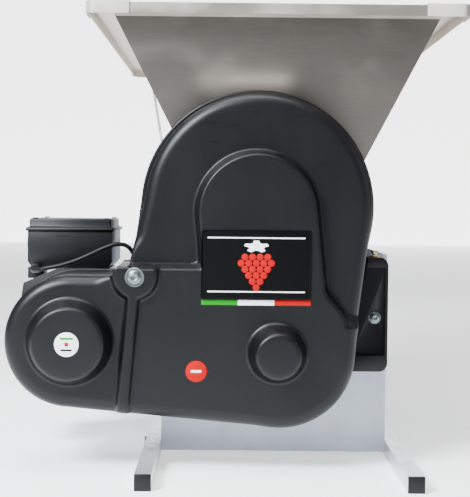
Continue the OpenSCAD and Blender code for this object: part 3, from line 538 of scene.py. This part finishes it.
bright_zinc = plated("bright_zinc", (0.20, 0.225, 0.225), (0.16, 0.20, 0.215), 0.66)
yellow_zinc = plated("yellow_zinc", (0.72, 0.52, 0.18), (0.62, 0.50, 0.34))
roller_rubber = rubbered("roller_rubber", (0.05, 0.05, 0.052), 0.35, 0.2)
belt_rubber = rubbered("belt_rubber", (0.012, 0.012, 0.012), 0.3)
lead_rubber = rubbered("lead_rubber", (0.003, 0.003, 0.0035), 0.5, 0.04, Specular_IOR_Level=0.25)
copper_winding = wound("copper_winding")
start_green = pressed_button("start_green", (0.02, 0.30, 0.06))
stop_red = pressed_button("stop_red", (0.55, 0.02, 0.02))

finishes = {
    panel_paint: "drive_panel stem_panel side_panel_left side_panel_right stem_chute motor_bracket",
    zinc_sheet: "runners hopper_struts top_deck hopper_front_bracket hopper_rear_saddle roller_frame "
    "beater_bridge",
    hopper_steel: "hopper",
    cage_steel: "cage",
    flight_steel: "auger_flight",
    cap_grey: "hopper_corner_caps",
    matt_black: "runner_plugs guard_backplate side_cover motor_fan motor_fan_cover lead_glands",
    guard_black: "belt_guard",
    box_black: "switch_box switch_box_lid",
    bright_zinc: "runner_bolts strut_bolts motor_bolts guard_screws box_screws pulley_nuts guard_standoff",
    yellow_zinc: "gap_adjuster",
    shaft_steel: "auger_shaft beater_shaft motor_rotor",
    cast_iron: "feed_pinion drive_pinion beater_pulley motor_pulley",
    gear_ivory: "roller_gear_left roller_gear_right auger_gear drive_wheel",
    bush_white: "roller_bushes auger_bearings beater_bearings",
    roller_rubber: "roller_left roller_right",
    paddle_dark: "beater_paddles",
    motor_paint: "motor_frame motor_end_shields",
    copper_winding: "motor_stator",
    belt_rubber: "drive_belt",
    lead_rubber: "lead",
    start_green: "start_button",
    stop_red: "stop_button",
    inlet_blue: "mains_inlet",
}
finish_of = {node: finish for finish, nodes in finishes.items() for node in nodes.split()}
for node, finish in finish_of.items():
    for held in frame["nodes"][node].material_slots:
        held.material = finish


def coat(piece, finish):
    piece.data.materials.clear()
    piece.data.materials.append(finish)
    return piece


# The lead: out of the gland under the switch box, round its corner, up over the
# front and down to the second gland in the side panel.

lead_line = [
    at(-327, -322, 244), at(-327, -330, 244), at(-326, -338, 244), at(-322, -346, 244),
    at(-315, -352, 245), at(-306, -355, 247), at(-295, -356, 249), at(-283, -356, 252),
    at(-268, -356, 257), at(-254, -356, 263), at(-241, -355, 269), at(-228, -354, 275),
    at(-217, -353, 279), at(-207, -351, 280), at(-198, -349, 277), at(-192, -347, 270),
    at(-188, -345, 261), at(-184, -343, 251), at(-179, -342, 243), at(-171, -341, 236),
    at(-162, -340, 232), at(-153, -340, 232),
]
lead_width = 6 * mm
lead_length = sum((b - a).length for a, b in zip(lead_line, lead_line[1:]))

run = bpy.data.curves.new("lead_run", "CURVE")
run.dimensions = "3D"
run.bevel_depth = lead_width / 2
run.bevel_resolution = 5
run.resolution_u = 6
run.use_fill_caps = True
strand = run.splines.new("BEZIER")
strand.bezier_points.add(len(lead_line) - 1)
for knot, spot in zip(strand.bezier_points, lead_line):
    knot.co = spot
    knot.handle_left_type = "AUTO"
    knot.handle_right_type = "AUTO"
lead = bpy.data.objects.new("lead_run", run)
bpy.context.collection.objects.link(lead)
coat(lead, lead_rubber)
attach(lead, "frame")
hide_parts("lead")


def sleeve(name, line, radii):
    """A tapering sleeve moulded on the lead, one ring at each point of its line."""
    clear()
    ahead = (line[1] - line[0]).normalized()
    turn = Vector((0, 0, 1)).rotation_difference(ahead)
    bpy.ops.mesh.primitive_circle_add(
        vertices=20, radius=radii[0], fill_type="NGON", location=line[0], rotation=turn.to_euler()
    )
    piece = bpy.context.object
    piece.name = name
    settle(piece)
    bpy.ops.object.mode_set(mode="EDIT")
    bpy.ops.mesh.select_all(action="SELECT")
    bpy.ops.object.mode_set(mode="OBJECT")
    for i in range(1, len(line)):
        now = (line[min(i + 1, len(line) - 1)] - line[i - 1]).normalized()
        bend = np.array(ahead.rotation_difference(now).to_matrix())
        grow_from = np.array(line[i - 1])
        share = radii[i] / radii[i - 1]

        def place(points):
            return np.array(line[i]) + ((points - grow_from) @ bend.T) * share

        grow(piece, place)
        ahead = now
    close_and_face_out()
    smooth(piece, 50)
    return piece


def along(line, count):
    """More points on a line, evenly between its own."""
    return [a.lerp(b, k / count) for a, b in zip(line, line[1:]) for k in range(count)] + [line[-1]]


def ribbed(count, wide, narrow):
    """Radii of a sleeve that narrows, with moulded ribs."""
    groove = 0.5
    radii = []
    for k in range(count):
        taper = wide + (narrow - wide) * k / (count - 1)
        grooved = k % 4 in (2, 3) and 2 < k < count - 3
        radii.append((taper - groove * grooved) * mm)
    return radii


first = along(lead_line[:5], 5)
last = along(lead_line[:-5:-1], 5)
boot_box = sleeve("lead_boot_box", first, ribbed(len(first), 5.2, 3.5))
boot_panel = sleeve("lead_boot_panel", last, ribbed(len(last), 5.2, 3.5))
for boot in (boot_box, boot_panel):
    coat(boot, lead_rubber)
    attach(boot, "frame")
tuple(lead_line[0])


# The belt guard: one vacuum-formed shell. Its outlines are belts drawn round circles,
# and its face is a sheet pressed forward inside them.

guard_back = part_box("belt_guard")[1].y / mm
level_low = -470
level_high = -492
lug_face = -500
edge_round = 17
lug_edge_round = 6
lug_seat_reach = 56
lug_seat_fade = 36
slope_foot = 3
plateau_slope = 10
lug_slope = 8
wall_inset = 2
wall_foot = guard_back - 9
dome = (-24, 332)
dome_r = 145.5
low_end = (3, 150)
low_r = 96
motor_spot = ((motor.x - beater.x) / mm, motor.z / mm)
lobe_r = 85
skirt = (-164, 262)
skirt_r = 24
plateau = (-26, 325)
plateau_low = (-12, 190)
plateau_r = 78
lug = (-178, 244)
lug_r = 29
lug_head = 60
rib_half = 8.5
rib_reach = 200
rib_lean = math.radians(5)
band_left = lug[0] - lug_r
band_right = -82
band_bottom = 190
band_top = 259
dome_lip = 8
lobe_lip = 1
motor_boss_height = 30


def belt_round(x, z, a, a_r, b, b_r):
    """Distance outside a belt drawn tight round two circles."""
    span = math.hypot(b[0] - a[0], b[1] - a[1])
    ux, uz = (b[0] - a[0]) / span, (b[1] - a[1]) / span
    along_line = (x - a[0]) * ux + (z - a[1]) * uz
    aside = np.abs((z - a[1]) * ux - (x - a[0]) * uz)
    slope = (a_r - b_r) / span
    level = math.sqrt(1 - slope * slope)
    side = level * along_line - slope * aside
    near_a = np.hypot(aside, along_line) - a_r
    near_b = np.hypot(aside, along_line - span) - b_r
    between = aside * level + along_line * slope - a_r
    return np.where(side < 0, near_a, np.where(side > level * span, near_b, between))


def box_round(x, z, x0, x1, z0, z1):
    """Distance outside a square-cornered box."""
    dx = np.abs(x - (x0 + x1) / 2) - (x1 - x0) / 2
    dz = np.abs(z - (z0 + z1) / 2) - (z1 - z0) / 2
    outside = np.hypot(np.maximum(dx, 0), np.maximum(dz, 0))
    return outside + np.minimum(np.maximum(dx, dz), 0)


def meet(a, b, soft):
    """The nearer of two outlines, with a hollow fillet where they meet."""
    share = np.clip(0.5 + 0.5 * (b - a) / soft, 0, 1)
    return b * (1 - share) + a * share - soft * share * (1 - share)


def tall_part(x, z):
    """Outline over the beater's pulley, with the skirt that runs down to the lug."""
    body = belt_round(x, z, dome, dome_r, low_end, low_r)
    return meet(body, belt_round(x, z, dome, dome_r, skirt, skirt_r), 3)


def band_part(x, z, more=0.0):
    """Outline round the motor's pulley, with the shoulder under the lug."""
    lobe = belt_round(x, z, motor_spot, lobe_r + more, low_end, low_r + more)
    block = box_round(x, z, band_left, band_right, band_bottom, band_top)
    return meet(lobe, block - more, 5)


def plateau_part(x, z):
    """Outline of the part of the face that is pressed furthest forward."""
    return meet(band_part(x, z), belt_round(x, z, plateau, plateau_r, plateau_low, plateau_r), 9)


def whole_part(x, z):
    return meet(tall_part(x, z), band_part(x, z), 4)


def flange_part(x, z):
    rim = dome_r + dome_lip
    body = belt_round(x, z, dome, rim, low_end, low_r + lobe_lip)
    body = meet(body, belt_round(x, z, dome, rim, skirt, skirt_r + lobe_lip), 3)
    return meet(body, band_part(x, z, lobe_lip), 4)


def lug_part(x, z):
    """Outline of the lug and of the rib that hangs from it."""
    round_lug = np.hypot(x - lug[0], z - lug[1]) - lug_r
    head = box_round(x, z, lug[0] - lug_r, lug[0] + lug_r, lug[1], lug[1] + lug_head)
    ax = (x - lug[0]) * math.cos(rib_lean) - (z - lug[1]) * math.sin(rib_lean)
    az = (x - lug[0]) * math.sin(rib_lean) + (z - lug[1]) * math.cos(rib_lean)
    rib = box_round(ax, az, -rib_half, rib_half, -rib_reach, 0)
    return meet(meet(round_lug, head, 2), rib, 3)


def eased_step(t):
    """Rises from 0 to 1 with a soft start and end."""
    t = np.clip(t, 0, 1)
    return t * t * t * (t * (6 * t - 15) + 10)


def face_y(x, z):
    """How far forward the pressed face stands at each place."""
    plateau_edge = plateau_part(x, z)
    high = eased_step((slope_foot - plateau_edge) / plateau_slope)
    proud = eased_step((slope_foot + meet(-lug_part(x, z), -plateau_edge - 1.5, 5)) / lug_slope)
    return level_low + (level_high - level_low) * high + (lug_face - level_high) * proud


def slide_to(outline, x, z, distance):
    """Moves points square to an outline until they lie that far outside it."""
    probe = 0.2
    for _ in range(6):
        here = outline(x, z)
        gx = (outline(x + probe, z) - outline(x - probe, z)) / (2 * probe)
        gz = (outline(x, z + probe) - outline(x, z - probe)) / (2 * probe)
        pull = (distance - here) / np.maximum(gx * gx + gz * gz, 0.2)
        x = x + gx * pull
        z = z + gz * pull
    return x, z


def round_at(x, z):
    """Radius of the shell's front edge, which tightens round the lug to leave its bolt a flat seat."""
    near = eased_step((lug_seat_reach - np.hypot(x - lug[0], z - lug[1])) / lug_seat_fade)
    return edge_round - (edge_round - lug_edge_round) * near


def face_line(x, z):
    """Zero where the flat of the face ends and its front edge starts to turn back."""
    return whole_part(x, z) + round_at(x, z)


def guard_shell():
    """The pressed sheet cut to its outline, with its edge rolled back into wall and flange."""
    clear()
    pitch = 1.7
    left, right, bottom, top = -350, 130, 46, 486
    across = int((right - left) / pitch)
    up = int((top - bottom) / pitch)
    bpy.ops.mesh.primitive_grid_add(
        x_subdivisions=across,
        y_subdivisions=up,
        size=1,
        location=at((left + right) / 2, level_low, (bottom + top) / 2),
        rotation=(math.radians(90), 0, 0),
    )
    shell = bpy.context.object
    shell.name = "guard_shell"
    shell.scale = ((right - left) * mm, (top - bottom) * mm, 1)
    settle(shell)
    points = points_of(shell)
    x = (points[:, 0] - beater.x) / mm
    z = points[:, 2] / mm
    outside = face_line(x, z) > 0.3 * pitch
    corners = np.zeros(len(shell.data.polygons) * 4, int)
    shell.data.polygons.foreach_get("vertices", corners)
    gone = outside[corners.reshape(-1, 4)].any(1)
    shell.data.vertices.foreach_set("select", np.zeros(len(points), bool))
    shell.data.edges.foreach_set("select", np.zeros(len(shell.data.edges), bool))
    shell.data.polygons.foreach_set("select", gone)
    bpy.ops.object.mode_set(mode="EDIT")
    bpy.ops.mesh.select_mode(type="FACE")
    bpy.ops.mesh.delete(type="FACE")
    bpy.ops.mesh.select_mode(type="VERT")
    bpy.ops.mesh.select_all(action="DESELECT")
    bpy.ops.mesh.select_non_manifold()
    bpy.ops.object.mode_set(mode="OBJECT")
    rim = np.zeros(len(shell.data.vertices), bool)
    shell.data.vertices.foreach_get("select", rim)
    points = points_of(shell)
    x = (points[:, 0] - beater.x) / mm
    z = points[:, 2] / mm
    x[rim], z[rim] = slide_to(face_line, x[rim], z[rim], 0)
    points = np.stack([x * mm + beater.x, face_y(x, z) * mm, z * mm], 1)
    put_points(shell, points)

    def rolled(turn):
        """One ring of the front edge, which has turned back by so much of its bend."""

        def place(found):
            px = (found[:, 0] - beater.x) / mm
            pz = found[:, 2] / mm
            fx, fz = slide_to(face_line, px, pz, 0)
            bend = round_at(fx, fz) - wall_inset
            qx, qz = slide_to(whole_part, px, pz, bend * (math.sin(turn) - 1) - wall_inset)
            y = face_y(fx, fz) + bend * (1 - math.cos(turn))
            return np.stack([qx * mm + beater.x, y * mm, qz * mm], 1)

        grow(shell, place)

    def ring(outline, distance, depth):
        """One ring of the wall or flange: how far outside the outline, and how deep."""

        def place(found):
            px = (found[:, 0] - beater.x) / mm
            pz = found[:, 2] / mm
            qx, qz = slide_to(outline, px, pz, distance)
            return np.stack([qx * mm + beater.x, np.full(len(qx), depth) * mm, qz * mm], 1)

        grow(shell, place)

    for k in range(1, 9):
        rolled(math.radians(10 * k))
    wall_top = level_low + edge_round - wall_inset
    for share in (0.25, 0.5, 0.75):
        ring(whole_part, -wall_inset + share * 1.6, wall_top + (wall_foot - wall_top) * share)
    for outline, distance, past_foot in (
        (whole_part, -0.4, 0),
        (whole_part, -1.2, 1.5),
        (flange_part, -3.2, 1.2),
        (flange_part, -1.2, 1.0),
        (flange_part, -0.3, 1.8),
        (flange_part, 0, 3.0),
        (flange_part, 0, guard_back - wall_foot),
        (flange_part, -4, guard_back - wall_foot),
    ):
        ring(outline, distance, wall_foot + past_foot)
    bpy.ops.object.mode_set(mode="EDIT")
    bpy.ops.mesh.select_all(action="SELECT")
    bpy.ops.mesh.normals_make_consistent(inside=False)
    bpy.ops.object.mode_set(mode="OBJECT")
    smooth(shell, 50)
    return shell


def boss(name, spot, foot_r, crown_r, height):
    """A bearing boss: a hollow fillet at its foot, a drafted side and a soft crown."""
    flare = 7
    crown_round = 6
    crown_flat = crown_r - crown_round
    crown_foot = height - crown_round
    steps = []
    for k in range(7):
        a = math.radians(15 * k)
        steps.append((foot_r + flare * (1 - math.sin(a)), flare * (1 - math.cos(a)) - 0.4))
    for k in range(7):
        a = math.radians(15 * k)
        steps.append((crown_flat + crown_round * math.cos(a), crown_foot + crown_round * math.sin(a)))
    steps += [(crown_r * 0.6, height + 0.1), (crown_r * 0.3, height + 0.2)]
    return turned(name, at(spot[0], level_high, spot[1]), steps, 96)


guard = guard_shell()
motor_boss = boss("guard_motor_boss", motor_spot, 52, 46, motor_boss_height)
beater_boss = boss("guard_beater_boss", (0, beater.z / mm), 35, 29, 38)
left_pip = turned("guard_pip", at(-176.5, wall_foot + 2, 325), [(4, 0), (4, 2), (3.4, 3), (2, 3.6)], 24)
guard = joined("guard_shell", [guard, motor_boss, beater_boss, left_pip])
coat(guard, guard_black)
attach(guard, "frame")
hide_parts("belt_guard")


# The guard's fastenings: a flanged bolt on a broad washer at the lug, and one in the side cover.


def hex_bolt(name, x, seat, z, washer_r, flat_r, shank_end, turn=12):
    """A washer, a domed flange, a six-sided head with eased corners, and its shank."""
    washer = turned(name + "_washer", at(x, seat, z), [
        (washer_r - 3, 0), (washer_r - 0.3, 0), (washer_r, 0.3), (washer_r, 1.2), (washer_r - 0.6, 1.7),
        (flat_r + 2.6, 1.6), (flat_r + 2.3, 0.9), (flat_r, 0.9)], 48)
    flange = turned(name + "_flange", at(x, seat, z), [
        (flat_r + 1.6, 0.6), (flat_r + 1.7, 2.0), (flat_r + 1.2, 2.6), (flat_r - 1, 3.4)], 48)
    head = turned(name + "_head", at(x, seat, z), [
        (flat_r - 0.4, 2.6), (flat_r - 0.4, 6.4), (flat_r - 1.2, 7.1), (flat_r - 2.6, 7.2),
        (flat_r - 3.4, 6.2), (flat_r - 4.4, 6.0)], 6)
    take(head)
    bpy.ops.object.mode_set(mode="EDIT")
    bpy.ops.mesh.select_all(action="SELECT")
    bpy.ops.transform.rotate(value=math.radians(turn), orient_axis="Y", center_override=at(x, seat, z))
    bpy.ops.object.mode_set(mode="OBJECT")
    apply(head, "BEVEL", width=0.5 * mm, segments=2, limit_method="ANGLE", angle_limit=sharp_from)
    shank = turned(name + "_shank", at(x, seat, z), [(3.6, 1), (3.9, 0.4), (3.9, seat - shank_end)], 24)
    return [washer, flange, head, shank]


cover_bolt = (131, 188)
seat_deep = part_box("side_cover")[0].y / mm + 5
shank_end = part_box("guard_screws")[1].y / mm
bolts = hex_bolt("lug_bolt", lug[0], lug_face, lug[1], 12, 7, shank_end)
bolts += hex_bolt("cover_bolt", cover_bolt[0], seat_deep, cover_bolt[1], 8, 5.4, shank_end, 40)
fastenings = joined("guard_fastenings", bolts)
coat(fastenings, bright_zinc)
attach(fastenings, "frame")
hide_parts("guard_screws")


# Stickers on the guard: a black maker's plate with a plain grape bunch, a stripe and two dots.

film_black = printed("film_black", (0.001, 0.001, 0.001), 0.55, Specular_IOR_Level=0.08)
film_white = printed("film_white", (0.9, 0.9, 0.89), 0.6)
film_green = printed("film_green", (0.0, 0.2, 0.008), 0.5, Specular_IOR_Level=0.08)
film_red = printed("film_red", (0.38, 0.0, 0.001), 0.5, Specular_IOR_Level=0.08)
film_grape = printed("film_grape", (0.36, 0.0, 0.003), 0.5, Specular_IOR_Level=0.08)
film_leaf = printed("film_leaf", (0.88, 0.9, 0.86), 0.6)


def film(name, x0, x1, z0, z1, front, back, finish, corners=None):
    piece = rounded_block(name, at(x0, front, z0), at(x1, back, z1), 0.08 * mm, corners)
    coat(piece, finish)
    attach(piece, "frame")
    return piece


plate_left = -95.6
plate_right = 40.6
plate_middle = -27.5
plate_foot = 217
plate_head = 303
stripe_foot = 210
stripe_head = 216.6
rule_width = 1.6
plate_face = level_high - 0.3
plate_back = level_high + 0.6
film(
    "plate_black", plate_left, plate_right, plate_foot, plate_head, plate_face, plate_back, film_black, 3 * mm
)
third = (plate_right - plate_left) / 3
stripes = (("stripe_green", film_green), ("stripe_white", film_white), ("stripe_red", film_red))
for k, (name, ink) in enumerate(stripes):
    left_end = plate_left + third * k
    film(name, left_end, left_end + third, stripe_foot, stripe_head, plate_face, plate_back, ink)
for name, z in (("rule_upper", 293), ("rule_lower", 226)):
    film(name, -88, 33, z, z + rule_width, plate_face - 0.5, plate_face, film_white)

berries = []
berry_gap = 9.4
row_gap = 7.6
for row, count in enumerate((4, 5, 4, 3, 2, 1)):
    for k in range(count):
        aside = (k - (count - 1) / 2) * berry_gap
        spot = at(plate_middle + aside, level_high - 0.4, 270 - row * row_gap)
        berries.append(turned(f"berry_{row}_{k}", spot, [(4.4, 0), (4.4, 0.3), (4.1, 0.45), (2, 0.6)], 20))
bunch = joined("plate_bunch", berries)
coat(bunch, film_grape)
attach(bunch, "frame")

clear()
leaf_spot = at(plate_middle, level_high - 0.5, 283)
bpy.ops.mesh.primitive_circle_add(
    vertices=60, radius=13 * mm, fill_type="NGON", location=leaf_spot, rotation=(math.radians(90), 0, 0)
)
leaf = bpy.context.object
leaf.name = "plate_leaf"
settle(leaf)
heart = np.array(leaf_spot)
out = points_of(leaf) - heart
turn_of = np.arctan2(out[:, 2], out[:, 0])
leaf_lobes = 5
lobed = np.cos(leaf_lobes * turn_of - math.pi / 2)
toothed = np.cos(3 * leaf_lobes * turn_of - math.pi / 2)
swell = 0.78 + 0.2 * lobed + 0.05 * toothed
put_points(leaf, heart + out * np.stack([swell * 1.25, swell, swell * 0.62], 1))
apply(leaf, "SOLIDIFY", thickness=0.25 * mm, offset=0)
coat(leaf, film_leaf)
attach(leaf, "frame")

boss_crown = level_high - motor_boss_height
red_spot = (-101, 127)
dots = (
    ("dot_white", motor_spot, boss_crown, 15, film_white),
    ("dot_red", red_spot, level_high, 13.3, film_red),
)
for name, spot, face, radius, ink in dots:
    steps = [(radius, 0), (radius, 0.3), (radius - 0.2, 0.4)]
    dot = turned(name, at(spot[0], face - 0.1, spot[1]), steps, 48)
    coat(dot, ink)
    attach(dot, "frame")
marks = (
    ("mark_green", motor_spot, boss_crown, (-8, 8, 6, 8.4), film_green),
    ("mark_red", motor_spot, boss_crown, (-2.4, 2.4, -2.2, 2.6), film_red),
    ("mark_black", motor_spot, boss_crown, (-7, 7, -8, -5.8), film_black),
    ("mark_white", red_spot, level_high, (-6.5, 6.5, -1.6, 1.6), film_white),
)
for name, spot, face, (x0, x1, z0, z1), ink in marks:
    x, z = spot
    film(name, x + x0, x + x1, z + z0, z + z1, face - 0.8, face - 0.4, ink, 0.7 * mm)


# Machine parts whose edges are moulded, pressed or filed round.

for node, width in (
    ("side_cover", 1.6),
    ("guard_backplate", 0.8),
    ("switch_box", 1.6),
    ("switch_box_lid", 2.2),
    ("hopper_corner_caps", 0.7),
    ("runner_plugs", 1.2),
    ("gap_adjuster", 0.5),
    ("motor_end_shields", 1.2),
    ("motor_fan_cover", 0.6),
    ("start_button", 1.2),
    ("stop_button", 1.2),
    ("mains_inlet", 0.8),
    ("lead_glands", 0.7),
    ("box_screws", 0.4),
    ("stem_chute", 0.5),
):
    coat(eased(node, width), finish_of[node])


# The studio: a pale lit floor and backdrop, a big soft light at the left and gentler ones round about.


def glowing(name, glow, dark_from=-9.0, lit_from=-8.0):
    """A pale surface with a glow of its own, which fades out in front of the machine."""
    look = Look(name, Roughness=0.8, Emission_Strength=glow)
    depth = look.node("ShaderNodeSeparateXYZ", None, {0: look.place}, "Y")
    look.drive("Emission Color", look.tint(look.above(depth, dark_from, lit_from), (0, 0, 0), (1, 1, 1)))
    look.drive("Base Color", look.tint(look.cloud(400), (0.88, 0.88, 0.88), (0.92, 0.92, 0.92)))
    return look.material


clear()
bpy.ops.mesh.primitive_plane_add(size=18, location=(0, 0, 0))
floor = bpy.context.object
floor.name = "floor"
clear()
bpy.ops.mesh.primitive_plane_add(size=6, location=(0, 8.9, 2.9), rotation=(math.radians(90), 0, 0))
backdrop = bpy.context.object
backdrop.name = "backdrop"
coat(floor, glowing("floor_pale", 0.9, -1.4, -0.7))
coat(backdrop, glowing("backdrop_pale", 3.2))
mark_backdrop(floor, backdrop)

sky = bpy.data.worlds.new("studio_air")
bpy.context.scene.world = sky
sky.use_nodes = True
sky.node_tree.nodes["Background"].inputs["Color"].default_value = (0.96, 0.97, 1, 1)
sky.node_tree.nodes["Background"].inputs["Strength"].default_value = 0.3


def softbox(name, spot, aim, width, height, power, colour=(1, 1, 1)):
    clear()
    spot = Vector(spot)
    heading = (Vector(aim) - spot).to_track_quat("-Z", "Y").to_euler()
    bpy.ops.object.light_add(type="AREA", location=spot, rotation=heading)
    box = bpy.context.object
    box.name = name
    box.data.shape = "RECTANGLE"
    box.data.size = width
    box.data.size_y = height
    box.data.energy = power
    box.data.color = colour
    box.visible_camera = False


softbox("light_left", (-1.25, -1.75, 1.75), (0, -0.35, 0.35), 0.8, 0.8, 215, (0.88, 0.94, 1))
softbox("light_top", (-0.2, -0.7, 2.2), (0, -0.2, 0.3), 1.4, 0.8, 50)
softbox("light_right", (2.0, -0.9, 0.9), (0, 0, 0.3), 1.0, 1.4, 7)
softbox("light_bounce", at(-40, -428, 491), at(-40, -384, 504), 0.12, 0.008, 0.03)

boxes = {"cad": machine_box, "visual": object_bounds()}
{name: [list(corner) for corner in box] for name, box in boxes.items()}
